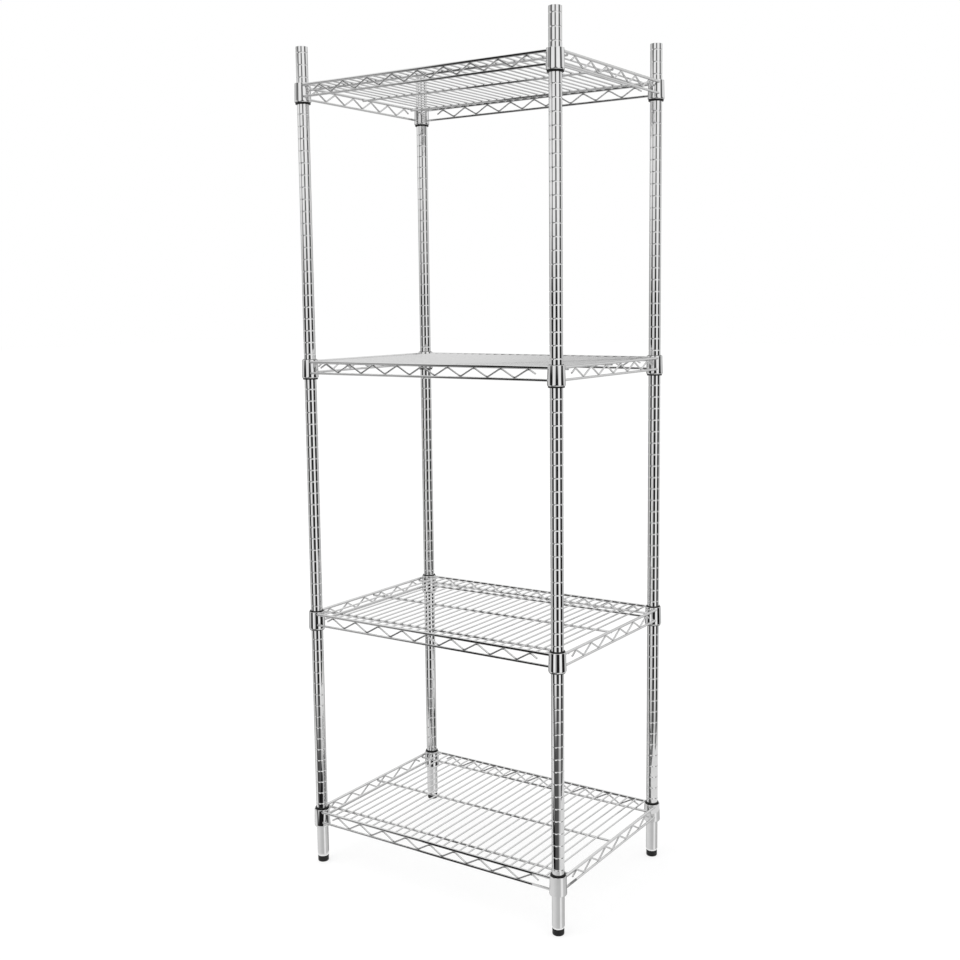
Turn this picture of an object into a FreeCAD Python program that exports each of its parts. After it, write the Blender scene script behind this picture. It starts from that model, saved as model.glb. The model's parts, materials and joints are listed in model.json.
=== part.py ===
import FreeCAD, Part
import math
import os

from FreeCAD import Vector

# A free-standing wire shelving unit: four grooved tube posts on levelling feet carry four welded wire
# shelves. Each shelf hangs by its four tapered collars on split plastic sleeves, and each sleeve's inner
# ridge locks into one of the grooves rolled round the post. Millimetres, +Z up. The origin is on the floor,
# midway between the posts, with +X along the long side of the shelves and -Y at the front.

# Posts
POST_SPACING_X = 620.0  # from post axis to post axis along the shelves
POST_SPACING_Y = 425.0  # from post axis to post axis, front to back
POST_DIAMETER = 25.4
POST_WALL = 1.5
POST_LENGTH = 1784.5
GROOVE_PITCH = 25.4
LOWEST_GROOVE = 96.4  # from the post's bottom edge up to the middle of groove 0
GROOVE_END_MARGIN = 5.0  # least length of plain post above the highest groove
GROOVE_DEPTH = 0.6
GROOVE_WIDTH = 2.4

# The grooves that hold the shelves, and how far up each shelf's collars have settled on their sleeves
LOWER_SHELF_GROOVES = (0, 18, 40)  # counted up from the lowest groove, bottom shelf first
TOP_SHELF_GROOVE = 3  # counted down from the highest groove
SETTLED_HEIGHTS = (0.0, 1.3, 2.7, 3.1)  # above the lowest seat, bottom shelf first

# Caps in the post tops
CAP_FLANGE = 1.5
CAP_SPIGOT = 12.0
CAP_EDGE = 0.6  # bevel of the cap's rim
PLUG_CLEARANCE = 0.05  # between a post's bore and the plug pressed into it

# Threaded inserts in the post bottoms
INSERT_FLANGE = 3.4
INSERT_BODY = 24.0
INSERT_INSET = 1.0  # from the post's outside in to the flange's rim
INSERT_EDGE = 0.6  # bevel of the flange's lower rim

# Levelling feet
FOOT_DIAMETER = 24.4
FOOT_HEIGHT = 12.8
FOOT_TOP_EDGE = 0.8  # bevel of the foot's upper rim
FOOT_BOTTOM_EDGE = 2.0  # bevel of the foot's lower rim
FOOT_GAP = 0.8  # between the foot and the insert when the foot is screwed right in
STEM_DIAMETER = 10.0
STEM_LENGTH = 44.0
STEM_SEAT = 7.0  # how deep the stem is set into the foot
SEAT_CLEARANCE = 0.05  # between the stem and its seat in the foot
THREAD_CLEARANCE = 0.1  # between the stem and the insert's bore

# Shelf collars, cones that open downwards
COLLAR_HEIGHT = 40.0
COLLAR_TAPER = 2.2  # how much wider the collar is at its lower rim
COLLAR_WALL = 1.4
COLLAR_LIP = 1.2  # how far the collar's lower rim is drawn in
COLLAR_LIP_HEIGHT = 3.0
COLLAR_ABOVE_GROOVE = 11.0  # from the groove's middle up to the top rim of a collar on the lowest seat

# Split sleeves between the posts and the collars
SLEEVE_WALL = 2.3  # at the top rim of a collar on the lowest seat
SLEEVE_ABOVE = 3.5  # how far the sleeve stands out over a collar on the lowest seat
SLEEVE_BELOW = 0.5  # how far the sleeve shows under that collar
SLEEVE_CLEARANCE = 0.1  # between the sleeve and the post
SLEEVE_SPLIT = 0.8  # the slit between the sleeve's two halves
RIDGE_CLEARANCE = 0.15  # between the sleeve's ridge and the groove
WEDGE_CLEARANCE = 0.3  # between the sleeve's cone and the cone of a collar on the lowest seat

# Shelf frame wires
UPPER_RAIL_DIAMETER = 6.0
LOWER_RAIL_DIAMETER = 5.0
UPPER_RAIL_DROP = 5.0  # from the collar's top rim down to the upper rail's axis
RAIL_SPACING = 24.0  # from the upper rail's axis down to the lower rail's
RAIL_OFFSET = 10.5  # from the line of the post axes out to the rails
WELD_SINK = 0.4  # how far crossing wires sink into each other at a weld

# Zigzag truss wires between the rails
TRUSS_DIAMETER = 3.6
TRUSS_PERIOD = 63.6  # nominal, rounded to whole periods on each side
TRUSS_END_GAP = 38.0  # from a collar to the outermost bend of the truss wire
TRUSS_TAIL = 16.0  # along the rail, from that bend to the wire's cut end

# Deck wires
CROSS_WIRE_DIAMETER = 3.6
CROSS_WIRE_PITCH = 21.2
CROSS_WIRE_END_GAP = 4.0  # least gap between the outermost cross wire and the collars
SUPPORT_DIAMETER = 5.0
SUPPORT_INSET = 31.5  # from the line of the post axes in to the outer support wires
SUPPORT_SINK = 1.0  # how far a support wire's end is sunk into the side rail

CORNERS = {
    "front_left": (-1, -1),
    "front_right": (1, -1),
    "back_left": (-1, 1),
    "back_right": (1, 1),
}

POST_RADIUS = POST_DIAMETER / 2
POST_BORE = POST_RADIUS - POST_WALL
POST_BOTTOM = FOOT_HEIGHT + FOOT_GAP + INSERT_FLANGE
POST_TOP = POST_BOTTOM + POST_LENGTH
GROOVE_COUNT = 1 + math.floor((POST_LENGTH - LOWEST_GROOVE - GROOVE_END_MARGIN) / GROOVE_PITCH)
SHELF_GROOVES = LOWER_SHELF_GROOVES + (GROOVE_COUNT - 1 - TOP_SHELF_GROOVE,)
SLEEVE_BORE = POST_RADIUS + SLEEVE_CLEARANCE
COLLAR_TOP_RADIUS = SLEEVE_BORE + SLEEVE_WALL + WEDGE_CLEARANCE + COLLAR_WALL
LOWER_RAIL_DROP = UPPER_RAIL_DROP + RAIL_SPACING
RAIL_X = POST_SPACING_X / 2 + RAIL_OFFSET
RAIL_Y = POST_SPACING_Y / 2 + RAIL_OFFSET


def corner(sides):
    """The axis of a post, on the floor."""
    return Vector(sides[0] * POST_SPACING_X / 2, sides[1] * POST_SPACING_Y / 2, 0)


def groove_height(number):
    """The height of a groove's middle above the post's bottom edge."""
    return LOWEST_GROOVE + number * GROOVE_PITCH


def collar_radius(drop):
    """The collar's outer radius at a distance below its top rim."""
    return COLLAR_TOP_RADIUS + COLLAR_TAPER / 2 * drop / COLLAR_HEIGHT


def turned(profile):
    """A solid turned about Z from its half section, given as (radius, height) corners."""
    points = [Vector(radius, 0, height) for radius, height in profile]
    section = Part.Face(Part.makePolygon(points + points[:1]))
    return section.revolve(Vector(0, 0, 0), Vector(0, 0, 1), 360)


def rod(start, end, diameter):
    """A straight round wire between two points."""
    run = end - start
    return Part.makeCylinder(diameter / 2, run.Length, start, run)


def bent_wire(points, diameter):
    """A round wire bent sharply at each point of its route."""
    route = Part.makePolygon(points)
    section = Part.Wire(Part.makeCircle(diameter / 2, points[0], points[1] - points[0]))
    mitred_corners = 1
    return route.makePipeShell([section], True, True, mitred_corners)


def post():
    """A tube with a row of rolled grooves, standing on z = 0."""
    profile = [(POST_BORE, 0), (POST_RADIUS, 0)]
    for number in range(GROOVE_COUNT):
        middle = groove_height(number)
        profile.append((POST_RADIUS, middle - GROOVE_WIDTH / 2))
        profile.append((POST_RADIUS - GROOVE_DEPTH, middle))
        profile.append((POST_RADIUS, middle + GROOVE_WIDTH / 2))
    profile += [(POST_RADIUS, POST_LENGTH), (POST_BORE, POST_LENGTH)]
    return turned(profile)


def post_cap():
    """A plug with a thin bevelled flange that closes the top of a post. Its seat is at z = 0."""
    spigot = POST_BORE - PLUG_CLEARANCE
    return turned(
        [
            (0, -CAP_SPIGOT),
            (spigot, -CAP_SPIGOT),
            (spigot, 0),
            (POST_RADIUS, 0),
            (POST_RADIUS, CAP_FLANGE - CAP_EDGE),
            (POST_RADIUS - CAP_EDGE, CAP_FLANGE),
            (0, CAP_FLANGE),
        ]
    )


def thread_insert():
    """A flanged plug with a through bore for a foot's stem. Its seat under the post is at z = 0."""
    bore = STEM_DIAMETER / 2 + THREAD_CLEARANCE
    body = POST_BORE - PLUG_CLEARANCE
    rim = POST_RADIUS - INSERT_INSET
    return turned(
        [
            (bore, -INSERT_FLANGE),
            (rim - INSERT_EDGE, -INSERT_FLANGE),
            (rim, -INSERT_FLANGE + INSERT_EDGE),
            (rim, 0),
            (body, 0),
            (body, INSERT_BODY),
            (bore, INSERT_BODY),
        ]
    )


def foot_pad():
    """A round foot with a blind seat for its stem, standing on z = 0."""
    radius = FOOT_DIAMETER / 2
    seat = STEM_DIAMETER / 2 + SEAT_CLEARANCE
    return turned(
        [
            (0, 0),
            (radius - FOOT_BOTTOM_EDGE, 0),
            (radius, FOOT_BOTTOM_EDGE),
            (radius, FOOT_HEIGHT - FOOT_TOP_EDGE),
            (radius - FOOT_TOP_EDGE, FOOT_HEIGHT),
            (seat, FOOT_HEIGHT),
            (seat, FOOT_HEIGHT - STEM_SEAT),
            (0, FOOT_HEIGHT - STEM_SEAT),
        ]
    )


def foot_stem():
    """The foot's threaded stem at its major diameter, standing in the foot's seat."""
    base = Vector(0, 0, FOOT_HEIGHT - STEM_SEAT)
    return Part.makeCylinder(STEM_DIAMETER / 2, STEM_LENGTH, base)


def collar():
    """A tapered collar with its lower rim drawn in. Its top rim is at z = 0."""
    lip = COLLAR_HEIGHT - COLLAR_LIP_HEIGHT
    return turned(
        [
            (collar_radius(0) - COLLAR_WALL, 0),
            (collar_radius(COLLAR_HEIGHT) - COLLAR_WALL, -COLLAR_HEIGHT),
            (collar_radius(COLLAR_HEIGHT) - COLLAR_LIP, -COLLAR_HEIGHT),
            (collar_radius(lip), -lip),
            (collar_radius(0), 0),
        ]
    )


def collar_core():
    """The space inside a collar's outer cone, which ends the rails that are welded to it."""
    return Part.makeCone(
        collar_radius(COLLAR_HEIGHT),
        collar_radius(0),
        COLLAR_HEIGHT,
        Vector(0, 0, -COLLAR_HEIGHT),
    )


def sleeve_halves():
    """The two halves of a split sleeve, with a cone outside and a ridge for the post's groove inside.

    The top rim of a collar on the lowest seat is at z = 0.
    """
    bottom_drop = COLLAR_HEIGHT + SLEEVE_BELOW
    inset = COLLAR_WALL + WEDGE_CLEARANCE
    ridge = POST_RADIUS - GROOVE_DEPTH + RIDGE_CLEARANCE
    ridge_half = (SLEEVE_BORE - ridge) * GROOVE_WIDTH / 2 / GROOVE_DEPTH
    sleeve = turned(
        [
            (SLEEVE_BORE, -bottom_drop),
            (collar_radius(bottom_drop) - inset, -bottom_drop),
            (collar_radius(-SLEEVE_ABOVE) - inset, SLEEVE_ABOVE),
            (SLEEVE_BORE, SLEEVE_ABOVE),
            (SLEEVE_BORE, -COLLAR_ABOVE_GROOVE + ridge_half),
            (ridge, -COLLAR_ABOVE_GROOVE),
            (SLEEVE_BORE, -COLLAR_ABOVE_GROOVE - ridge_half),
        ]
    )
    reach = collar_radius(bottom_drop)
    slit = Part.makeBox(
        2 * reach,
        SLEEVE_SPLIT,
        bottom_drop + SLEEVE_ABOVE,
        Vector(-reach, -SLEEVE_SPLIT / 2, -bottom_drop),
    )
    return sleeve.cut(slit).Solids


def rails(drop, diameter):
    """The four straight wires round a shelf at one height, each ending on the collars at its corners."""
    post_x = POST_SPACING_X / 2
    post_y = POST_SPACING_Y / 2
    core = collar_core()
    cores = Part.makeCompound([core.translated(corner(sides)) for sides in CORNERS.values()])
    wires = []
    for side in (-1, 1):
        left = Vector(-post_x, side * RAIL_Y, -drop)
        right = Vector(post_x, side * RAIL_Y, -drop)
        front = Vector(side * RAIL_X, -post_y, -drop)
        back = Vector(side * RAIL_X, post_y, -drop)
        wires += [rod(left, right, diameter), rod(front, back, diameter)]
    return [wire.cut(cores).Solids[0] for wire in wires]


def zigzag(post_spacing):
    """The route of a truss wire along one side, as (distance from the side's middle, height) points.

    Its outermost bends are under the upper rail, and a cut leg points down from them towards the collars.
    """
    outermost = post_spacing / 2 - collar_radius(LOWER_RAIL_DROP) - TRUSS_END_GAP
    periods = max(1, round(2 * outermost / TRUSS_PERIOD))
    half_period = outermost / periods
    reach = TRUSS_DIAMETER / 2 - WELD_SINK
    high = -UPPER_RAIL_DROP - UPPER_RAIL_DIAMETER / 2 - reach
    low = -LOWER_RAIL_DROP + LOWER_RAIL_DIAMETER / 2 + reach
    tail_end = outermost + TRUSS_TAIL
    tail_height = high - (high - low) * TRUSS_TAIL / half_period
    bends = [(-outermost + step * half_period, low if step % 2 else high) for step in range(2 * periods + 1)]
    return [(-tail_end, tail_height)] + bends + [(tail_end, tail_height)]


def trusses():
    """The four zigzag wires that brace the rails, each in the plane of its rails."""
    wires = []
    for side in (-1, 1):
        along = [Vector(place, side * RAIL_Y, height) for place, height in zigzag(POST_SPACING_X)]
        across = [Vector(side * RAIL_X, place, height) for place, height in zigzag(POST_SPACING_Y)]
        wires += [bent_wire(along, TRUSS_DIAMETER), bent_wire(across, TRUSS_DIAMETER)]
    return wires


def cross_wires():
    """The deck's wires, level with the front and back rails and welded to their inner sides."""
    end = RAIL_Y - UPPER_RAIL_DIAMETER / 2 + WELD_SINK
    reach = POST_SPACING_X / 2 - collar_radius(UPPER_RAIL_DROP) - CROSS_WIRE_END_GAP
    outermost = reach - CROSS_WIRE_DIAMETER / 2
    per_half = math.floor(outermost / CROSS_WIRE_PITCH + 0.5)
    wires = []
    for number in range(-per_half, per_half):
        place = (number + 0.5) * CROSS_WIRE_PITCH
        front = Vector(place, -end, -UPPER_RAIL_DROP)
        back = Vector(place, end, -UPPER_RAIL_DROP)
        wires.append(rod(front, back, CROSS_WIRE_DIAMETER))
    return wires


def support_wires():
    """The three long wires under the deck, between the side rails."""
    end = RAIL_X - UPPER_RAIL_DIAMETER / 2 + SUPPORT_SINK
    drop = UPPER_RAIL_DROP + (CROSS_WIRE_DIAMETER + SUPPORT_DIAMETER) / 2 - WELD_SINK
    outer = POST_SPACING_Y / 2 - SUPPORT_INSET
    return [
        rod(Vector(-end, place, -drop), Vector(end, place, -drop), SUPPORT_DIAMETER)
        for place in (-outer, 0, outer)
    ]


def at_corners(solids):
    """A copy of the solids at each of the four post axes."""
    return [solid.translated(corner(sides)) for sides in CORNERS.values() for solid in solids]


def raised(solids, height):
    """Copies of the solids, moved up."""
    return [solid.translated(Vector(0, 0, height)) for solid in solids]


def write(name, solids):
    """Writes one sub-part, or a group of like ones, to its own file."""
    shape = solids[0] if len(solids) == 1 else Part.makeCompound(solids)
    shape.exportStep(f"parts/{name}.step")


def main():
    os.makedirs("parts", exist_ok=True)

    leg = {
        "post": post().translated(Vector(0, 0, POST_BOTTOM)),
        "foot_pad": foot_pad(),
        "foot_stem": foot_stem(),
    }
    for place, sides in CORNERS.items():
        for name, solid in leg.items():
            write(f"{name}_{place}", [solid.translated(corner(sides))])
    write("post_caps", raised(at_corners([post_cap()]), POST_TOP))
    write("thread_inserts", raised(at_corners([thread_insert()]), POST_BOTTOM))

    sleeves = at_corners(sleeve_halves())
    shelf = {
        "collars": at_corners([collar()]),
        "upper_rails": rails(UPPER_RAIL_DROP, UPPER_RAIL_DIAMETER),
        "lower_rails": rails(LOWER_RAIL_DROP, LOWER_RAIL_DIAMETER),
        "trusses": trusses(),
        "cross_wires": cross_wires(),
        "support_wires": support_wires(),
    }
    places = zip(SHELF_GROOVES, SETTLED_HEIGHTS)
    for number, (groove, settled_height) in enumerate(places, start=1):
        lowest_seat = POST_BOTTOM + groove_height(groove) + COLLAR_ABOVE_GROOVE
        write(f"shelf_{number}_sleeves", raised(sleeves, lowest_seat))
        for name, solids in shelf.items():
            write(f"shelf_{number}_{name}", raised(solids, lowest_seat + settled_height))


main()
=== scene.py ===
import json
import math
from itertools import pairwise

import bmesh
import bpy
from mathutils import Matrix, Vector

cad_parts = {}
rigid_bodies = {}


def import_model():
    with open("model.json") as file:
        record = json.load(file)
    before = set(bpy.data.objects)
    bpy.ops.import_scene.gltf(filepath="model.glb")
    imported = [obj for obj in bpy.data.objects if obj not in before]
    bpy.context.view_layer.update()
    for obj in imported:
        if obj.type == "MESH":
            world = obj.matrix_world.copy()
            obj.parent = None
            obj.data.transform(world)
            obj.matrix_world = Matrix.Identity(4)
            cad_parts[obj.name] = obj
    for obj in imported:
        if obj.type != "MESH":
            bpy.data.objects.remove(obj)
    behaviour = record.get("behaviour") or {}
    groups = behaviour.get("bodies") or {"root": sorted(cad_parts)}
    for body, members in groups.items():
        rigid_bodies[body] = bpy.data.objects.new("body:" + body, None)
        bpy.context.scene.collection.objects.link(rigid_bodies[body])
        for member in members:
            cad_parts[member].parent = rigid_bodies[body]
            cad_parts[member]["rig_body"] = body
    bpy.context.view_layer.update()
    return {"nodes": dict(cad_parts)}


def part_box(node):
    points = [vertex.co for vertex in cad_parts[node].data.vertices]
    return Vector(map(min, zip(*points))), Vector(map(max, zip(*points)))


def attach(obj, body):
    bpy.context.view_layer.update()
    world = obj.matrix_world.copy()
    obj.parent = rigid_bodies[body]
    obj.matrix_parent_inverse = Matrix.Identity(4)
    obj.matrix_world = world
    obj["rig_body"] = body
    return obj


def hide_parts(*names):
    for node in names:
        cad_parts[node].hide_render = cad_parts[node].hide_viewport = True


# A chrome wire shelving unit in a white studio. Metres, +Z up, with the origin on the floor midway between
# the posts. Every CAD node is replaced by a finer mesh of the same piece in the same place.

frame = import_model()
scene = bpy.context.scene

MM = 0.001
UP = Vector((0, 0, 1))
ALONG = Vector((1, 0, 0))
ACROSS = Vector((0, 1, 0))
CORNERS = {
    "front_left": (-1, -1),
    "front_right": (1, -1),
    "back_left": (-1, 1),
    "back_right": (1, 1),
}
SHELVES = (1, 2, 3, 4)

# Fineness of the meshes
POST_SEGMENTS = 72
COLLAR_SEGMENTS = 72
INSERT_SEGMENTS = 64
FOOT_SEGMENTS = 64
HALF_SLEEVE_SEGMENTS = 40
STEM_SEGMENTS = 40
STEM_ROWS_PER_TURN = 8
RAIL_SEGMENTS = 24
SUPPORT_SEGMENTS = 18
TRUSS_SEGMENTS = 14
CROSS_WIRE_SEGMENTS = 14
GUARD = 0.5 * MM  # from a rounded edge to the ring of points that keeps the plain wall beside it straight
SHARP_ANGLE = 38  # degrees of bend from which an edge is shaded as a sharp one
THREAD_SHARP_ANGLE = 60

# Posts, with their places taken from the frame
POST_RADIUS = 12.7 * MM
POST_BORE = 11.2 * MM
CAP_LOW, CAP_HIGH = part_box("post_caps")
POST_X = (CAP_HIGH.x - CAP_LOW.x) / 2 - POST_RADIUS
POST_Y = (CAP_HIGH.y - CAP_LOW.y) / 2 - POST_RADIUS
POST_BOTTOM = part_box("post_front_left")[0].z
POST_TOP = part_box("post_front_left")[1].z
POST_EDGE = 0.9 * MM
GROOVE_PITCH = 25.4 * MM
LOWEST_GROOVE = 96.4 * MM
GROOVE_COUNT = 67
GROOVE_DEPTH = 0.6 * MM
GROOVE_HALF_WIDTH = 1.2 * MM
# A groove's section from its soft shoulder to its round bottom, as shares of its half width and its depth
GROOVE_SHAPE = ((-1.3, 0.0), (-1.0, 0.0), (-0.85, 0.08), (-0.15, 0.92), (0.0, 1.0))

# Caps, inserts and feet
CAP_TOP = CAP_HIGH.z
CAP_BOTTOM = CAP_LOW.z
CAP_EDGE = 0.7 * MM
CAP_DISH = 0.25 * MM
CAP_DISH_SHAPE = ((0.8, 0.2), (0.6, 1.0), (0.0, 1.0))  # shares of the cap's radius and of the dish's depth
PLUG_CLEARANCE = 0.05 * MM
PLUG_RADIUS = POST_BORE - PLUG_CLEARANCE
INSERT_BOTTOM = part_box("thread_inserts")[0].z
INSERT_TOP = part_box("thread_inserts")[1].z
INSERT_RIM_RADIUS = 11.7 * MM
INSERT_EDGE = 0.6 * MM
INSERT_BORE = 5.1 * MM
FOOT_RADIUS = 12.2 * MM
FOOT_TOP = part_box("foot_pad_front_left")[1].z
FOOT_TOP_EDGE = 0.9 * MM
FOOT_BOTTOM_EDGE = 2.6 * MM
FOOT_GROOVES = (0.38, 0.60)  # the heights of the grooves round the foot, as shares of its own
FOOT_GROOVE_DEPTH = 0.45 * MM
FOOT_GROOVE_MOUTH = 0.72 * MM  # half the groove's width at the foot's surface
FOOT_GROOVE_FLOOR = 0.225 * MM  # half its width at the bottom
STEM_RADIUS = 5.0 * MM
STEM_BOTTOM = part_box("foot_stem_front_left")[0].z
STEM_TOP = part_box("foot_stem_front_left")[1].z
STEM_SEAT_RADIUS = 5.05 * MM
THREAD_PITCH = 1.5 * MM
THREAD_DEPTH = 0.9 * MM
THREAD_FLAT = 0.15  # how far crests are cut off and roots are filled, as a share of the depth

# Collars and sleeves
COLLAR_TOP_RADIUS = 16.8 * MM
COLLAR_BOTTOM_RADIUS = 17.9 * MM
COLLAR_HEIGHT = 40.0 * MM
COLLAR_WALL = 1.4 * MM
COLLAR_ROLL = 3.0 * MM  # height of the rolled lower rim
COLLAR_ROLL_DRAW = 1.2 * MM
SLEEVE_BORE = 12.8 * MM
SLEEVE_TOP_RADIUS = 15.0 * MM
SLEEVE_BOTTOM_RADIUS = 16.21 * MM
SLEEVE_EDGE = 0.35 * MM
SLEEVE_SPLIT = 0.8 * MM
RIDGE_DROP = 14.5 * MM  # from the sleeve's top rim down to its inner ridge
RIDGE_RADIUS = 12.25 * MM
RIDGE_HALF_WIDTH = 1.1 * MM

# Shelf wires
UPPER_RAIL_RADIUS = 3.0 * MM
LOWER_RAIL_RADIUS = 2.5 * MM
UPPER_RAIL_DROP = 5.0 * MM
LOWER_RAIL_DROP = 29.0 * MM
RAIL_OFFSET = 10.5 * MM
RAIL_X = POST_X + RAIL_OFFSET
RAIL_Y = POST_Y + RAIL_OFFSET
TRUSS_RADIUS = 1.8 * MM
TRUSS_BEND = 5.0 * MM
TRUSS_PERIODS = {"long": 8, "short": 5}
TRUSS_REACH = {"long": 254.4 * MM, "short": 156.9 * MM}  # to the outermost bends under the upper rail
TRUSS_TAIL = 16.0 * MM
TRUSS_CUT_EDGE = 0.4 * MM
CROSS_WIRE_RADIUS = 1.8 * MM
CROSS_WIRE_PITCH = 21.2 * MM
CROSS_WIRE_COUNT = 28
CROSS_WIRE_MIDDLE = (CROSS_WIRE_COUNT - 1) / 2
CROSS_WIRE_PLACES = [(wire - CROSS_WIRE_MIDDLE) * CROSS_WIRE_PITCH for wire in range(CROSS_WIRE_COUNT)]
SUPPORT_RADIUS = 2.5 * MM
SUPPORT_DROP = 8.9 * MM
SUPPORT_END = 318.5 * MM
SUPPORT_ROWS = (-181.0 * MM, 0.0, 181.0 * MM)
SUPPORT_CUT_EDGE = 0.6 * MM
CUT_MIDDLE = 0.3  # from a cut wire's end to the middle of its rounded rim, as a share of the rounding

# Welds, with the beads' half sizes along the wire, across it and up
WELD_SINK = 0.4 * MM
RAIL_FILLET = 1.1 * MM
CROSS_WIRE_FILLET = 0.66 * MM
TRUSS_BEAD = (2.6 * MM, 1.5 * MM, 0.8 * MM)
CROSS_BEAD = (2.2 * MM, 2.2 * MM, 0.8 * MM)
END_BEAD = (1.6 * MM, 2.6 * MM, 1.4 * MM)
END_BEAD_INSET = 1.2 * MM
# How a fillet spreads: distance back from the surface and added radius, as shares of the fillet
FILLET_STEPS = ((2.4, 0.0), (1.6, 0.0), (0.9, 0.1), (0.4, 0.35), (0.1, 0.75), (0.0, 1.0))

# Finishes
NOISE_RANGE = (0.3, 0.7)  # where most of a noise's values lie
CLOUD_SCALE = 60.0
CLOUDED_SHARE = 0.94  # of the plate's own level, where it is clouded
WELD_SHARE = 0.42  # of the plate's own level, on a weld
WELD_ROUGHNESS = 0.16  # that a weld adds
PLATE_BUMP = 0.015
SCUFF_SCALE = 180.0
SCUFF_STRETCH = (1, 1, 0.25)
PLASTIC_BUMP = 0.25
BUMP_DISTANCE = 0.1 * MM

# Camera of the photograph
IMAGE_SIZE = 960
SENSOR_WIDTH = 36.0
FOCAL_PIXELS = 1237.7
OPTICAL_AXIS_ROW = 450
CAMERA_PLACE = Vector((1.4994, -2.2510, 1.2653))
CAMERA_AZIMUTH = 33.831
CAMERA_ELEVATION = 6.860
CAMERA_ROLL = -0.630


def post_axis(sides, height=0.0):
    """A point on the axis of the post at a corner."""
    return Vector((sides[0] * POST_X, sides[1] * POST_Y, height))


def shelf_top(number):
    """The height of a shelf's collar tops, from which its wires' drops are measured."""
    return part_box(f"shelf_{number}_collars")[1].z


def collar_radius(drop):
    """The collar's outer radius at a distance below its top rim."""
    share = drop / COLLAR_HEIGHT
    return COLLAR_TOP_RADIUS + (COLLAR_BOTTOM_RADIUS - COLLAR_TOP_RADIUS) * share


# Mesh tools


def arc(centre, radii, start, end, steps=5):
    """Points of an elliptic arc in a half section, from one angle in degrees to another."""
    points = []
    for step in range(steps + 1):
        angle = math.radians(start + (end - start) * step / steps)
        points.append((centre[0] + radii[0] * math.cos(angle), centre[1] + radii[1] * math.sin(angle)))
    return points


def circle(segments):
    """The cosines and sines of the angles that divide a whole turn."""
    angles = [math.tau * step / segments for step in range(segments)]
    return [(math.cos(angle), math.sin(angle)) for angle in angles]


def turn(bm, profile, centre, segments, start=0.0, sweep=math.tau):
    """Adds the solid turned from a closed half section of (radius, height) points about a vertical line."""
    whole = sweep == math.tau
    count = segments if whole else segments + 1
    angles = [start + sweep * step / segments for step in range(count)]
    outward = [Vector((math.cos(angle), math.sin(angle), 0)) for angle in angles]
    rings = []
    for radius, height in profile:
        foot = centre + UP * height
        if radius == 0:
            rings.append([bm.verts.new(foot)] * count)
        else:
            rings.append([bm.verts.new(foot + radius * direction) for direction in outward])
    for first, second in pairwise(rings + rings[:1]):
        for step in range(segments):
            after = (step + 1) % count
            corners = dict.fromkeys((first[step], first[after], second[after], second[step]))
            if len(corners) > 2:
                bm.faces.new(corners)
    if not whole:
        bm.faces.new([ring[0] for ring in rings])
        bm.faces.new([ring[-1] for ring in rings])


def skin(bm, rings):
    """Adds the closed surface over a row of rings with as many points each."""
    for first, second in pairwise(rings):
        for step, corner in enumerate(first):
            after = (step + 1) % len(first)
            bm.faces.new((corner, first[after], second[after], second[step]))
    bm.faces.new(rings[0])
    bm.faces.new(rings[-1])


def tube(bm, path, radii, side, segments):
    """Adds a round wire along a flat path. side is square to the path's plane."""
    rings = []
    for number, (point, radius) in enumerate(zip(path, radii)):
        ahead = path[min(number + 1, len(path) - 1)]
        behind = path[max(number - 1, 0)]
        across = side.cross((ahead - behind).normalized())
        outward = [cosine * across + sine * side for cosine, sine in circle(segments)]
        rings.append([bm.verts.new(point + radius * direction) for direction in outward])
    skin(bm, rings)


def blunt_ends(path, radius, edge):
    """The path and radii of a wire that is cut square, with the cuts' rims rounded off."""
    first = (path[1] - path[0]).normalized()
    last = (path[-2] - path[-1]).normalized()
    middle = edge * CUT_MIDDLE
    setbacks = [0.0, middle, edge]
    rim_radii = [radius - edge, radius - middle, radius]
    start = [path[0] + first * setback for setback in setbacks]
    end = [path[-1] + last * setback for setback in reversed(setbacks)]
    radii = rim_radii + [radius] * (len(path) - 2) + rim_radii[::-1]
    return start + path[1:-1] + end, radii


def welded_rod(bm, middle, direction, radius, reach, fillet, segments):
    """Adds a straight wire whose ends spread into weld fillets on the surfaces that they meet.

    reach(across, up) is the distance from the wire's middle to that surface, at an offset from its axis.
    """
    weld = bm.verts.layers.float["weld"]
    side = direction.cross(UP)
    rings = []
    for sign, steps in ((-1, FILLET_STEPS[::-1]), (1, FILLET_STEPS)):
        for back, spread in steps:
            ring = []
            for cosine, sine in circle(segments):
                across = (radius + spread * fillet) * cosine
                up = (radius + spread * fillet) * sine
                distance = sign * (reach(across, up) - back * fillet)
                vert = bm.verts.new(middle + direction * distance + side * across + UP * up)
                vert[weld] = spread
                ring.append(vert)
            rings.append(ring)
    skin(bm, rings)


def nugget(bm, centre, size):
    """Adds the bead of a spot weld."""
    weld = bm.verts.layers.float["weld"]
    place = Matrix.Translation(centre) @ Matrix.Diagonal((*size, 1))
    made = bmesh.ops.create_icosphere(bm, subdivisions=2, radius=1, matrix=place)
    for vert in made["verts"]:
        vert[weld] = 1.0


def new_mesh():
    """An empty mesh for a piece, whose points say how far they belong to a weld."""
    bm = bmesh.new()
    bm.verts.layers.float.new("weld")
    return bm


def new_object(name, bm, material):
    """Turns a mesh into an object of the scene."""
    mesh = bpy.data.meshes.new(name)
    bm.to_mesh(mesh)
    bm.free()
    mesh.materials.append(material)
    made = bpy.data.objects.new(name, mesh)
    scene.collection.objects.link(made)
    return made


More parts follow.
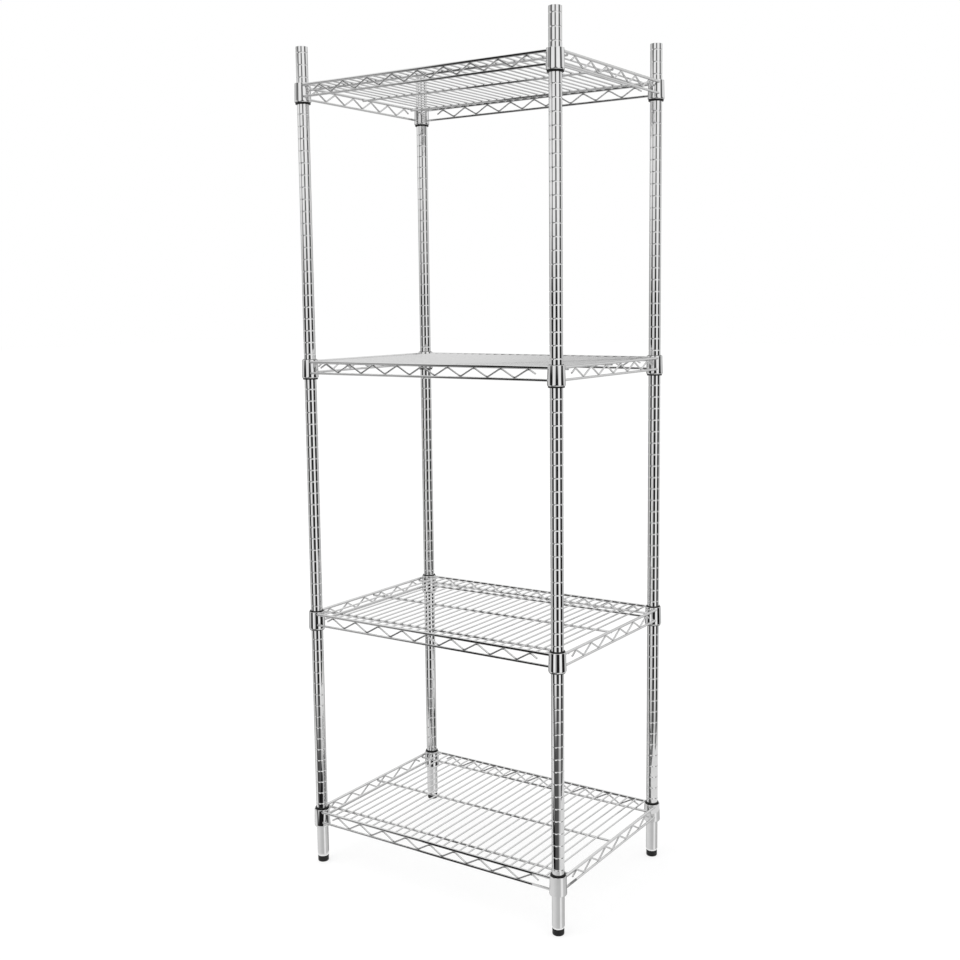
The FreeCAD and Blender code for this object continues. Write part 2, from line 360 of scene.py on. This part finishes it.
def piece(node, bm, slot, sharp_angle=SHARP_ANGLE):
    """Turns a mesh into the visible piece that stands for a CAD node, in the finish of a material slot."""
    bmesh.ops.recalc_face_normals(bm, faces=bm.faces)
    made = new_object(f"{node}_piece", bm, FINISHES[slot])
    made.data.polygons.foreach_set("use_smooth", [True] * len(made.data.polygons))
    made.data.set_sharp_from_angle(angle=math.radians(sharp_angle))
    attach(made, frame["nodes"][node]["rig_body"])
    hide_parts(node)


# Materials


def put(tree, socket, value):
    """Links a socket to another node's output, or gives it a plain value."""
    if isinstance(value, bpy.types.NodeSocket):
        tree.links.new(value, socket)
    else:
        socket.default_value = value


def node_of(tree, kind, inputs=(), **settings):
    """A new shader node with its settings and inputs."""
    node = tree.nodes.new(kind)
    for name, value in settings.items():
        setattr(node, name, value)
    for name, value in dict(inputs).items():
        put(tree, node.inputs[name], value)
    return node


def grey(level, warmth=0.0):
    """A grey that leans to red and away from blue by its warmth."""
    return (level * (1 + warmth), level, level * (1 - warmth), 1.0)


def maths(tree, operation, *values):
    """The result of an operation on plain values or other nodes' outputs."""
    return node_of(tree, "ShaderNodeMath", enumerate(values), operation=operation).outputs[0]


def ranged(tree, value, low, high, source=NOISE_RANGE):
    """A value taken from one range to another and held within it."""
    inputs = {"Value": value, "From Min": source[0], "From Max": source[1], "To Min": low, "To Max": high}
    return node_of(tree, "ShaderNodeMapRange", inputs).outputs["Result"]


def mixed(tree, factor, first, second):
    """A mix of two colours. The node's colour sockets go by number, because their names repeat."""
    inputs = {0: factor, 6: first, 7: second}
    return node_of(tree, "ShaderNodeMix", inputs, data_type="RGBA").outputs[2]


def noise(tree, scale, detail, roughness=0.55, stretch=(1, 1, 1)):
    """Noise in the object's own metres, drawn out along an axis by a small stretch."""
    place = node_of(tree, "ShaderNodeTexCoord").outputs["Object"]
    mapped = node_of(tree, "ShaderNodeMapping", {"Vector": place, "Scale": stretch})
    inputs = {"Vector": mapped.outputs["Vector"], "Scale": scale, "Detail": detail, "Roughness": roughness}
    return node_of(tree, "ShaderNodeTexNoise", inputs).outputs["Fac"]


def bumped(tree, scale, strength):
    """The surface's direction, disturbed by a fine grain."""
    grain = noise(tree, scale, detail=2.0)
    inputs = {"Height": grain, "Strength": strength, "Distance": BUMP_DISTANCE}
    return node_of(tree, "ShaderNodeBump", inputs).outputs["Normal"]


def new_material(name, inputs=()):
    """A new material with its node tree and shader, and values for some of the shader's inputs."""
    material = bpy.data.materials.new(name)
    material.use_nodes = True
    tree = material.node_tree
    shader = tree.nodes["Principled BSDF"]
    for socket, value in dict(inputs).items():
        put(tree, shader.inputs[socket], value)
    return material, tree, shader.inputs


def plated(name, level, roughness, grain, warmth=0.0):
    """Plated steel: a clear mirror with faint clouding, fine grain, and duller, darker welds."""
    material, tree, inputs = new_material(name, {"Metallic": 1.0})
    cloud = noise(tree, CLOUD_SCALE, detail=4.0)
    weld = node_of(tree, "ShaderNodeAttribute", attribute_name="weld").outputs["Fac"]
    clouded = grey(level * CLOUDED_SHARE, warmth)
    plate = mixed(tree, ranged(tree, cloud, 0.0, 1.0), clouded, grey(level, warmth))
    put(tree, inputs["Base Color"], mixed(tree, weld, plate, grey(level * WELD_SHARE, warmth)))
    dulled = maths(tree, "MULTIPLY_ADD", weld, WELD_ROUGHNESS, ranged(tree, cloud, *roughness))
    put(tree, inputs["Roughness"], dulled)
    put(tree, inputs["Normal"], bumped(tree, grain, PLATE_BUMP))
    return material


def moulded(name, levels, roughness, grain, specular):
    """Moulded plastic: a fine spark grain, slight scuffs and an uneven sheen."""
    material, tree, inputs = new_material(name, {"Specular IOR Level": specular})
    scuffs = noise(tree, SCUFF_SCALE, detail=5.0, roughness=0.65, stretch=SCUFF_STRETCH)
    plain, scuffed = levels
    colour = mixed(tree, ranged(tree, scuffs, 0.0, 1.0), grey(plain), grey(scuffed))
    put(tree, inputs["Base Color"], colour)
    put(tree, inputs["Roughness"], ranged(tree, scuffs, *roughness))
    put(tree, inputs["Normal"], bumped(tree, grain, PLASTIC_BUMP))
    return material


FINISHES = {
    "post_chrome": plated("polished_posts", 0.84, (0.02, 0.05), grain=700.0),
    "cap_chrome": plated("polished_caps", 0.84, (0.05, 0.10), grain=700.0),
    "collar_chrome": plated("polished_collars", 0.84, (0.02, 0.05), grain=700.0),
    "wire_chrome": plated("polished_wire", 0.74, (0.03, 0.07), grain=900.0),
    "stem_steel": plated("zinc_stud", 0.70, (0.18, 0.30), grain=1200.0, warmth=0.02),
    "insert_plastic": moulded("white_nylon", (0.86, 0.80), (0.34, 0.50), grain=1800.0, specular=0.40),
    "sleeve_plastic": moulded("black_nylon", (0.004, 0.008), (0.34, 0.50), grain=2200.0, specular=0.20),
    "foot_plastic": moulded("black_foot", (0.006, 0.012), (0.26, 0.42), grain=1800.0, specular=0.30),
}


# Posts, caps, inserts and feet


def groove_profile(middle):
    """The rolled groove's half section, about the height of its middle."""
    mirrored = tuple((-offset, depth) for offset, depth in GROOVE_SHAPE[-2::-1])
    profile = []
    for offset, depth in GROOVE_SHAPE + mirrored:
        profile.append((POST_RADIUS - GROOVE_DEPTH * depth, middle + GROOVE_HALF_WIDTH * offset))
    return profile


def post(place, sides):
    """A tube with a round lower rim and a groove at every step."""
    rim = (POST_RADIUS - POST_EDGE, POST_BOTTOM + POST_EDGE)
    profile = [(POST_BORE, POST_BOTTOM)]
    profile += arc(rim, (POST_EDGE, POST_EDGE), -90, 0, steps=4)
    profile += [(POST_RADIUS, POST_BOTTOM + POST_EDGE + GUARD)]
    for number in range(GROOVE_COUNT):
        profile += groove_profile(POST_BOTTOM + LOWEST_GROOVE + number * GROOVE_PITCH)
    profile += [(POST_RADIUS, POST_TOP), (POST_BORE, POST_TOP)]
    bm = new_mesh()
    turn(bm, profile, post_axis(sides), POST_SEGMENTS)
    piece(f"post_{place}", bm, "post_chrome")


def post_caps():
    """Plugs with a round rim and a slightly dished top."""
    rim = (POST_RADIUS - CAP_EDGE, CAP_TOP - CAP_EDGE)
    profile = [(0, CAP_BOTTOM), (PLUG_RADIUS, CAP_BOTTOM), (PLUG_RADIUS, POST_TOP), (POST_RADIUS, POST_TOP)]
    profile += arc(rim, (CAP_EDGE, CAP_EDGE), 0, 90)
    profile += [(POST_RADIUS * radius, CAP_TOP - CAP_DISH * depth) for radius, depth in CAP_DISH_SHAPE]
    bm = new_mesh()
    for sides in CORNERS.values():
        turn(bm, profile, post_axis(sides), POST_SEGMENTS)
    piece("post_caps", bm, "cap_chrome")


def thread_inserts():
    """Plugs with a bore for the stud and a rim below the post."""
    rim = (INSERT_RIM_RADIUS - INSERT_EDGE, INSERT_BOTTOM + INSERT_EDGE)
    profile = [(INSERT_BORE, INSERT_BOTTOM)]
    profile += arc(rim, (INSERT_EDGE, INSERT_EDGE), -90, 0)
    profile += [(INSERT_RIM_RADIUS, POST_BOTTOM), (PLUG_RADIUS, POST_BOTTOM)]
    profile += [(PLUG_RADIUS, INSERT_TOP), (INSERT_BORE, INSERT_TOP)]
    bm = new_mesh()
    for sides in CORNERS.values():
        turn(bm, profile, post_axis(sides), INSERT_SEGMENTS)
    piece("thread_inserts", bm, "insert_plastic")


def foot_pad(place, sides):
    """A puck with round rims and two grooves round it."""
    floor_radius = FOOT_RADIUS - FOOT_GROOVE_DEPTH
    top = (FOOT_RADIUS - FOOT_TOP_EDGE, FOOT_TOP - FOOT_TOP_EDGE)
    bottom = (FOOT_RADIUS - FOOT_BOTTOM_EDGE, FOOT_BOTTOM_EDGE)
    profile = [(0, 0)]
    profile += arc(bottom, (FOOT_BOTTOM_EDGE, FOOT_BOTTOM_EDGE), -90, 0)
    for share in FOOT_GROOVES:
        middle = FOOT_TOP * share
        profile += [(FOOT_RADIUS, middle - FOOT_GROOVE_MOUTH), (floor_radius, middle - FOOT_GROOVE_FLOOR)]
        profile += [(floor_radius, middle + FOOT_GROOVE_FLOOR), (FOOT_RADIUS, middle + FOOT_GROOVE_MOUTH)]
    profile += arc(top, (FOOT_TOP_EDGE, FOOT_TOP_EDGE), 0, 90)
    profile += [(STEM_SEAT_RADIUS, FOOT_TOP), (STEM_SEAT_RADIUS, STEM_BOTTOM), (0, STEM_BOTTOM)]
    bm = new_mesh()
    turn(bm, profile, post_axis(sides), FOOT_SEGMENTS)
    piece(f"foot_pad_{place}", bm, "foot_plastic")


def foot_stem(place, sides):
    """A stud with a helical thread that runs out at both ends."""
    bm = new_mesh()
    length = STEM_TOP - STEM_BOTTOM
    rows = round(length / THREAD_PITCH * STEM_ROWS_PER_TURN)
    rings = []
    for row in range(rows + 1):
        height = length * row / rows
        runout = min(1.0, height / THREAD_PITCH, (length - height) / THREAD_PITCH)
        axis = post_axis(sides, STEM_BOTTOM + height)
        ring = []
        for step, (cosine, sine) in enumerate(circle(STEM_SEGMENTS)):
            phase = (height / THREAD_PITCH - step / STEM_SEGMENTS) % 1.0
            flank = abs(2 * phase - 1) * (1 + 2 * THREAD_FLAT) - THREAD_FLAT
            crest = runout * min(1.0, max(0.0, flank))
            radius = STEM_RADIUS - THREAD_DEPTH * (1 - crest)
            ring.append(bm.verts.new(axis + radius * Vector((cosine, sine, 0))))
        rings.append(ring)
    skin(bm, rings)
    piece(f"foot_stem_{place}", bm, "stem_steel", THREAD_SHARP_ANGLE)


# Collars and sleeves


def collar_profile():
    """A cone with a round upper rim and a lower rim that is rolled in, below z = 0."""
    half = COLLAR_WALL / 2
    lower_inner = COLLAR_BOTTOM_RADIUS - COLLAR_WALL
    roll = (collar_radius(COLLAR_HEIGHT - COLLAR_ROLL) - COLLAR_ROLL_DRAW, COLLAR_ROLL - COLLAR_HEIGHT)
    profile = arc((COLLAR_TOP_RADIUS - half, -half), (half, half), 180, 0, steps=6)
    for drop in (half + GUARD, COLLAR_HEIGHT - COLLAR_ROLL - GUARD):
        profile += [(collar_radius(drop), -drop)]
    profile += arc(roll, (COLLAR_ROLL_DRAW, COLLAR_ROLL), 0, -90, steps=6)
    profile += [(lower_inner, -COLLAR_HEIGHT), (lower_inner, COLLAR_ROLL - COLLAR_HEIGHT)]
    return profile


def collars(number):
    """A tapered collar at each corner of a shelf."""
    bm = new_mesh()
    for sides in CORNERS.values():
        turn(bm, collar_profile(), post_axis(sides, shelf_top(number)), COLLAR_SEGMENTS)
    piece(f"shelf_{number}_collars", bm, "collar_chrome")


def sleeves(number):
    """Two half sleeves round each post, with a slit between them and an inner ridge."""
    low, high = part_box(f"shelf_{number}_sleeves")
    ridge = high.z - RIDGE_DROP
    rim = (SLEEVE_TOP_RADIUS - SLEEVE_EDGE, high.z - SLEEVE_EDGE)
    profile = [(SLEEVE_BORE, low.z), (SLEEVE_BOTTOM_RADIUS - SLEEVE_EDGE, low.z)]
    profile += [(SLEEVE_BOTTOM_RADIUS, low.z + SLEEVE_EDGE)]
    profile += arc(rim, (SLEEVE_EDGE, SLEEVE_EDGE), 0, 90, steps=3)
    profile += [(SLEEVE_BORE, high.z), (SLEEVE_BORE, ridge + RIDGE_HALF_WIDTH)]
    profile += [(RIDGE_RADIUS, ridge), (SLEEVE_BORE, ridge - RIDGE_HALF_WIDTH)]
    slit = SLEEVE_SPLIT / 2 / SLEEVE_BORE
    bm = new_mesh()
    for sides in CORNERS.values():
        for start in (0.0, math.pi):
            turn(bm, profile, post_axis(sides), HALF_SLEEVE_SEGMENTS, start + slit, math.pi - 2 * slit)
    piece(f"shelf_{number}_sleeves", bm, "sleeve_plastic")


# Wires of a shelf


def collar_reach(spacing, drop, outward):
    """The reach of a rail to the collars that stand at a spacing from its middle.

    outward is 1 where an offset across the rail points away from the shelf, and -1 where it points inwards.
    """

    def reach(across, up):
        out = RAIL_OFFSET + across * outward
        return spacing - math.sqrt((collar_radius(drop - up) - WELD_SINK) ** 2 - out**2)

    return reach


def rails(number, name, drop, radius):
    """The four straight wires round a shelf, each welded to the collars at its corners."""
    height = shelf_top(number) - drop
    bm = new_mesh()
    for side in (-1, 1):
        middle = Vector((0, side * RAIL_Y, height))
        reach = collar_reach(POST_X, drop, -side)
        welded_rod(bm, middle, ALONG, radius, reach, RAIL_FILLET, RAIL_SEGMENTS)
        middle = Vector((side * RAIL_X, 0, height))
        reach = collar_reach(POST_Y, drop, side)
        welded_rod(bm, middle, ACROSS, radius, reach, RAIL_FILLET, RAIL_SEGMENTS)
    piece(f"shelf_{number}_{name}", bm, "wire_chrome")


def rounded(points, cut, steps=6):
    """The axis of a bent wire, with each corner rounded off from a cut before it to a cut after it."""
    path = [points[0]]
    for before, corner, after in zip(points, points[1:], points[2:]):
        start = corner + (before - corner).normalized() * cut
        end = corner + (after - corner).normalized() * cut
        for step in range(steps + 1):
            share = step / steps
            path.append(start.lerp(corner, share).lerp(corner.lerp(end, share), share))
    return path + [points[-1]]


def zigzag(kind):
    """A truss wire's corners as (distance from the side's middle, drop), and its welded bends likewise."""
    periods = TRUSS_PERIODS[kind]
    half_period = TRUSS_REACH[kind] / periods
    high = UPPER_RAIL_DROP + UPPER_RAIL_RADIUS + TRUSS_RADIUS - WELD_SINK
    low = LOWER_RAIL_DROP - LOWER_RAIL_RADIUS - TRUSS_RADIUS + WELD_SINK
    slope = (low - high) / half_period
    flattening = TRUSS_BEND * math.sin(math.atan(slope)) / 2
    steps = range(-periods, periods + 1)
    bends = [(step * half_period, low if (step + periods) % 2 else high) for step in steps]
    corners = [(at, drop + (flattening if drop == low else -flattening)) for at, drop in bends]
    tail = (TRUSS_REACH[kind] + TRUSS_TAIL, high + TRUSS_TAIL * slope)
    return [(-tail[0], tail[1])] + corners + [tail], bends


def trusses(number):
    """The zigzag wires between the rails, spot welded to them at every bend."""
    top = shelf_top(number)
    bead_length, bead_width, bead_height = TRUSS_BEAD
    bm = new_mesh()
    for kind, direction, side_axis, offset in (
        ("long", ALONG, ACROSS, RAIL_Y),
        ("short", ACROSS, ALONG, RAIL_X),
    ):
        corners, bends = zigzag(kind)
        bead = direction * bead_length + side_axis * bead_width + UP * bead_height
        for side in (-1, 1):
            base = side_axis * side * offset + UP * top
            route = rounded([base + direction * at - UP * drop for at, drop in corners], TRUSS_BEND)
            path, radii = blunt_ends(route, TRUSS_RADIUS, TRUSS_CUT_EDGE)
            tube(bm, path, radii, side_axis, TRUSS_SEGMENTS)
            for at, drop in bends:
                is_low = drop > (UPPER_RAIL_DROP + LOWER_RAIL_DROP) / 2
                contact = drop + (TRUSS_RADIUS if is_low else -TRUSS_RADIUS)
                nugget(bm, base + direction * at - UP * contact, bead)
    piece(f"shelf_{number}_trusses", bm, "wire_chrome")


def cross_wires(number):
    """The deck's wires, butt welded to the inner sides of the front and back rails."""
    height = shelf_top(number) - UPPER_RAIL_DROP

    def reach(across, up):
        return RAIL_Y - math.sqrt(UPPER_RAIL_RADIUS**2 - up**2) + WELD_SINK / 2

    bm = new_mesh()
    for at in CROSS_WIRE_PLACES:
        middle = Vector((at, 0, height))
        welded_rod(bm, middle, ACROSS, CROSS_WIRE_RADIUS, reach, CROSS_WIRE_FILLET, CROSS_WIRE_SEGMENTS)
    piece(f"shelf_{number}_cross_wires", bm, "wire_chrome")


def support_wires(number):
    """The thicker wires under the deck, spot welded to every cross wire and to the side rails."""
    height = shelf_top(number) - SUPPORT_DROP
    contact = height + SUPPORT_RADIUS - WELD_SINK / 2
    bm = new_mesh()
    for row in SUPPORT_ROWS:
        route = [Vector((at, row, height)) for at in (-SUPPORT_END, 0, SUPPORT_END)]
        path, radii = blunt_ends(route, SUPPORT_RADIUS, SUPPORT_CUT_EDGE)
        tube(bm, path, radii, UP, SUPPORT_SEGMENTS)
        for at in CROSS_WIRE_PLACES:
            nugget(bm, Vector((at, row, contact)), CROSS_BEAD)
        for sign in (-1, 1):
            nugget(bm, Vector((sign * (SUPPORT_END - END_BEAD_INSET), row, contact)), END_BEAD)
    piece(f"shelf_{number}_support_wires", bm, "wire_chrome")


# Studio

# What the chrome mirrors: rings of the studio from the floor up, over the lowest one. Each goes by the two
# heights in degrees between which it takes over from the ring below it, and has its brightness by degrees to
# the right of the camera.
LOWEST_RING = ((-180, 0.60), (-134, 0.45), (-116, 0.85), (180, 0.85))
STUDIO_RINGS = {
    (-56, -50): (
        (-180, 0.60), (-170, 0.20), (-132, 0.20), (-118, 0.75), (-86, 0.75), (-80, 0.03), (-16, 0.03),
        (-6, 0.90), (112, 0.90), (122, 0.55), (180, 0.60),
    ),
    (-31, -28): (
        (-180, 0.80), (-172, 0.70), (-164, 0.12), (-138, 0.15), (-124, 0.80), (-75, 0.80), (-70, 0.08),
        (8, 0.10), (20, 0.52), (48, 0.55), (62, 0.08), (100, 0.08), (112, 0.50), (180, 0.80),
    ),
    (-20.5, -17.5): (
        (-180, 0.75), (-172, 0.70), (-164, 0.10), (-140, 0.12), (-128, 0.65), (-96, 0.60), (-88, 0.03),
        (-58, 0.03), (-54, 1.00), (-34, 1.00), (-26, 0.55), (-18, 0.50), (-12, 0.015), (21, 0.015),
        (27, 1.00), (54, 1.00), (60, 0.012), (98, 0.012), (108, 0.70), (134, 0.70), (142, 0.10),
        (158, 0.10), (168, 0.75), (180, 0.75),
    ),
    (-3.5, -0.5): (
        (-180, 0.75), (-172, 0.70), (-164, 0.10), (-142, 0.15), (-130, 0.70), (-98, 0.65), (-90, 0.02),
        (-54, 0.02), (-48, 0.95), (-18, 0.85), (-12, 0.015), (17, 0.015), (24, 0.95), (54, 0.95),
        (59, 0.015), (88, 0.015), (96, 0.70), (138, 0.65), (146, 0.10), (158, 0.10), (168, 0.75),
        (180, 0.75),
    ),
    (0, 5): (
        (-180, 0.80), (-172, 0.78), (-164, 0.30), (-142, 0.30), (-130, 0.88), (-46, 0.96), (-14, 0.92),
        (-8, 0.09), (8, 0.09), (16, 1.00), (60, 0.98), (70, 0.04), (90, 0.04), (100, 0.80), (134, 0.80),
        (142, 0.28), (158, 0.28), (168, 0.80), (180, 0.80),
    ),
    (9, 11): (
        (-180, 0.85), (-172, 0.80), (-164, 0.12), (-142, 0.15), (-132, 0.85), (-116, 0.80), (-106, 0.32),
        (-62, 0.28), (-52, 0.95), (-16, 0.95), (-9, 0.10), (5, 0.10), (12, 1.00), (52, 1.00), (60, 0.10),
        (80, 0.10), (92, 0.85), (136, 0.90), (144, 0.20), (158, 0.20), (168, 0.85), (180, 0.85),
    ),
    (27, 33): ((-180, 1.00), (-70, 1.00), (-62, 0.12), (-52, 0.12), (-46, 1.00), (180, 1.00)),
    (60, 68): ((-180, 1.00), (180, 1.00)),
}
# Dark strips to the left of the camera, by bounds on the parts of the mirrored direction: where each strip
# starts, is full, starts to end and has ended. The side leans in by STRIP_LEAN above eye level.
NO_START = (-2.0, -1.5)  # below every part of a direction
STRIP_SIDES = (-0.610, -0.575, -0.43, -0.39)
STRIP_LEAN = 0.026
STRIP_LEAN_END = 0.4  # the upward part at which the lean is full
STRIPS = (
    (0.30, {"side": STRIP_SIDES, "Z": (*NO_START, -0.55, -0.40)}),
    (0.01, {"side": STRIP_SIDES, "Y": (*NO_START, -0.05, 0.0), "Z": (-0.75, -0.68, 0.75, 0.84)}),
)
# Sheets on the floor, as level, height and outline: white along the left half of the unit and to its right,
# and a dark one before it
SHEETS = (
    (0.80, 0.3 * MM, ((-0.02, -0.14), (-0.14, -0.36), (-0.75, -0.36), (-0.75, -0.14))),
    (0.80, 0.3 * MM, ((0.37, -0.35), (1.00, -0.35), (1.00, 0.90), (0.37, 0.90))),
    (0.01, 0.2 * MM, ((0.20, -0.38), (-0.36, -0.38), (-0.36, -0.62), (0.20, -0.62))),
)
# The screens round the legs, dark on the far side: degrees to the right of the camera, and level
CUFF_LEVELS = (
    (-180, 0.10), (-146, 0.15), (-132, 0.78), (-60, 0.74), (-10, 0.56), (22, 0.56), (30, 0.95), (48, 0.95),
    (60, 0.62), (104, 0.58), (122, 0.30), (180, 0.10),
)
CUFF_RADIUS = 55 * MM
CUFF_STEP = 3  # degrees
CUFF_HEIGHTS = {
    "front_left": 72 * MM,
    "front_right": 118 * MM,
    "back_left": 75 * MM,
    "back_right": 92 * MM,
}
FLOOR_REACH = 30.0
FLOOR_LEVEL = 0.30
FLOOR_GLOW = 0.72
LAMP_PLACE = Vector((-0.8, -1.6, 3.6))
LAMP_AIM = Vector((0, 0, 0.6))
LAMP_SIZE = 2.5
LAMP_WATTS = 25.0


def toward(degrees):
    """The level direction from the unit at some degrees to the right of the camera."""
    angle = math.radians(degrees + CAMERA_AZIMUTH)
    return Vector((math.sin(angle), -math.cos(angle), 0))


def camera():
    """The photograph's camera: its place, its aim with a slight roll, and its frame."""
    elevation = math.radians(CAMERA_ELEVATION)
    roll = math.radians(CAMERA_ROLL)
    back = math.cos(elevation) * toward(0) + math.sin(elevation) * UP
    level = UP.cross(back).normalized()
    upright = back.cross(level)
    right = math.cos(roll) * level + math.sin(roll) * upright
    top = math.cos(roll) * upright - math.sin(roll) * level
    data = bpy.data.cameras.new("camera")
    data.sensor_width = SENSOR_WIDTH
    data.lens = FOCAL_PIXELS * SENSOR_WIDTH / IMAGE_SIZE
    data.shift_y = (OPTICAL_AXIS_ROW - IMAGE_SIZE / 2) / IMAGE_SIZE
    made = bpy.data.objects.new("camera", data)
    turned = Matrix((right, top, back)).transposed().to_4x4()
    made.matrix_world = Matrix.Translation(CAMERA_PLACE) @ turned
    scene.collection.objects.link(made)
    scene.camera = made


def ring_ramp(tree, turn_share, stops):
    """A ring's colours by the share of a whole turn."""
    ramp = node_of(tree, "ShaderNodeValToRGB", {"Fac": turn_share})
    elements = ramp.color_ramp.elements
    while len(elements) < len(stops):
        elements.new(0.5)
    for element, (degrees, level) in zip(elements, stops):
        element.position = degrees / 360 + 0.5
        element.color = grey(level)
    return ramp.outputs["Color"]


def ring_colours(tree, parts):
    """The rings' colours by the parts of the mirrored direction."""
    frontward = maths(tree, "MULTIPLY", parts["Y"], -1.0)
    angle = maths(tree, "ARCTAN2", parts["X"], frontward)
    share = maths(tree, "MULTIPLY_ADD", angle, 1 / math.tau, 0.5 - CAMERA_AZIMUTH / 360)
    turn_share = maths(tree, "FRACT", share)
    colour = ring_ramp(tree, turn_share, LOWEST_RING)
    for heights, stops in STUDIO_RINGS.items():
        limits = [math.sin(math.radians(height)) for height in heights]
        above = ranged(tree, parts["Z"], 0.0, 1.0, limits)
        colour = mixed(tree, above, colour, ring_ramp(tree, turn_share, stops))
    return colour


def with_strips(tree, parts, colour):
    """The rings' colours with the dark strips before them."""
    lean = ranged(tree, parts["Z"], 0.0, STRIP_LEAN, (0.0, STRIP_LEAN_END))
    measures = {"side": maths(tree, "SUBTRACT", parts["X"], lean), "Y": parts["Y"], "Z": parts["Z"]}
    for level, bounds in STRIPS:
        strip = 1.0
        for part, (start, full, waning, end) in bounds.items():
            for limits in ((start, full), (end, waning)):
                strip = maths(tree, "MULTIPLY", strip, ranged(tree, measures[part], 0.0, 1.0, limits))
        colour = mixed(tree, strip, colour, grey(level))
    return colour


def world():
    """A white studio. The camera and plain surfaces see white, and mirrors see its dark screens too."""
    made = bpy.data.worlds.new("studio")
    made.use_nodes = True
    scene.world = made
    tree = made.node_tree
    direction = node_of(tree, "ShaderNodeTexCoord").outputs["Generated"]
    parts = node_of(tree, "ShaderNodeSeparateXYZ", {"Vector": direction}).outputs
    mirrored = with_strips(tree, parts, ring_colours(tree, parts))
    rays = node_of(tree, "ShaderNodeLightPath").outputs
    colour = mixed(tree, rays["Is Glossy Ray"], grey(1.0), mirrored)
    put(tree, tree.nodes["Background"].inputs["Color"], colour)


def glowing(name, level):
    """A matt material that gives off white light, with its strength left to be set."""
    inputs = {
        "Base Color": grey(level),
        "Roughness": 1.0,
        "Specular IOR Level": 0.0,
        "Emission Color": grey(1.0),
    }
    return new_material(name, inputs)


def floor():
    """A white floor that glows enough to stay white and keeps the unit's soft shadow."""
    bm = bmesh.new()
    bmesh.ops.create_grid(bm, x_segments=1, y_segments=1, size=FLOOR_REACH)
    material, _, inputs = glowing("studio_floor", FLOOR_LEVEL)
    inputs["Emission Strength"].default_value = FLOOR_GLOW
    made = new_object("floor", bm, material)
    made.visible_glossy = False


def level_at(stops, degrees):
    """The level at some degrees, between the stops before and after them."""
    (start, low), (end, high) = next(pair for pair in pairwise(stops) if degrees <= pair[1][0])
    return low + (high - low) * (degrees - start) / (end - start)


def screens():
    """White screens round the legs and sheets on the floor, which only the chrome mirrors."""
    bm = bmesh.new()
    levels = bm.faces.layers.float.new("level")

    def add_face(level, outline):
        face = bm.faces.new([bm.verts.new(corner) for corner in outline])
        face[levels] = level

    for place, sides in CORNERS.items():
        foot = post_axis(sides)
        rise = UP * CUFF_HEIGHTS[place]
        for degrees in range(-180, 180, CUFF_STEP):
            near = foot + CUFF_RADIUS * toward(degrees)
            far = foot + CUFF_RADIUS * toward(degrees + CUFF_STEP)
            level = level_at(CUFF_LEVELS, degrees + CUFF_STEP / 2)
            add_face(level, (near, far, far + rise, near + rise))
            add_face(level, (foot, far, near))
    for level, height, outline in SHEETS:
        add_face(level, [(x, y, height) for x, y in outline])
    material, tree, inputs = glowing("studio_screen", 0.0)
    brightness = node_of(tree, "ShaderNodeAttribute", attribute_name="level").outputs["Fac"]
    put(tree, inputs["Emission Strength"], brightness)
    made = new_object("screens", bm, material)
    made.visible_camera = False
    made.visible_diffuse = False
    made.visible_transmission = False
    made.visible_shadow = False


def lamp():
    """One large soft light over the front, for a soft shadow on the floor."""
    data = bpy.data.lights.new("softbox", "AREA")
    data.shape = "DISK"
    data.size = LAMP_SIZE
    data.energy = LAMP_WATTS
    made = bpy.data.objects.new("softbox", data)
    made.location = LAMP_PLACE
    made.rotation_euler = (LAMP_AIM - LAMP_PLACE).to_track_quat("-Z", "Y").to_euler()
    made.visible_glossy = False
    scene.collection.objects.link(made)


def build():
    """Makes every piece of the unit."""
    for place, sides in CORNERS.items():
        post(place, sides)
        foot_pad(place, sides)
        foot_stem(place, sides)
    post_caps()
    thread_inserts()
    for number in SHELVES:
        collars(number)
        sleeves(number)
        rails(number, "upper_rails", UPPER_RAIL_DROP, UPPER_RAIL_RADIUS)
        rails(number, "lower_rails", LOWER_RAIL_DROP, LOWER_RAIL_RADIUS)
        trusses(number)
        cross_wires(number)
        support_wires(number)


build()
camera()
world()
floor()
screens()
lamp()
scene.view_settings.view_transform = "Standard"
